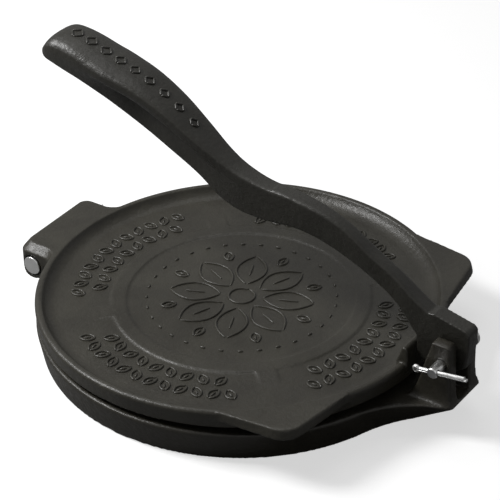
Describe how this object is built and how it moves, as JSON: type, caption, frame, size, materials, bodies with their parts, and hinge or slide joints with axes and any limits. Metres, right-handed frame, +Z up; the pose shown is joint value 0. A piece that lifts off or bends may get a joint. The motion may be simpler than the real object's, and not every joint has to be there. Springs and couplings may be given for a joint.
{
  "type": "tortilla press",
  "caption": "Cast-iron tortilla press: a round base, a hinged rimmed lid with lifting tabs, and a long curved lever whose cam head pushes the lid down.",
  "frame": {"origin": "the centre of the base disc on the table, at the foot of its hub", "axes": "+Z up from the table, +Y from the lever's pivot at the front towards the lid's hinge at the back, X along both pins"},
  "size_m": [0.212, 0.2687, 0.1454],
  "materials": {
    "base_iron": "seasoned satin",
    "lid_iron": "seasoned satin",
    "lever_iron": "seasoned satin",
    "plated_steel": "bright zinc plate"
  },
  "bodies": {
    "base": {"base": "base_iron", "lever_pin": "plated_steel", "lever_cotter": "plated_steel", "hinge_pin": "plated_steel", "hinge_cotter": "plated_steel"},
    "lid": {"lid": "lid_iron"},
    "lever": {"lever": "lever_iron"}
  },
  "joints": [
    {"name": "lever_hinge", "type": "hinge", "parent": "base", "child": "lever", "pos_m": [0, -0.1245, 0.039], "axis": [1, 0, 0], "range_deg": [0, 160]},
    {"name": "lid_hinge", "type": "hinge", "parent": "base", "child": "lid", "pos_m": [0, 0.1155, 0.015], "axis": [-1, 0, 0], "range_deg": [0, 110]}
  ],
  "couplings": [
    {"joint": "lid_hinge", "follows": "lever_hinge", "ratio": 0.38}
  ]
}
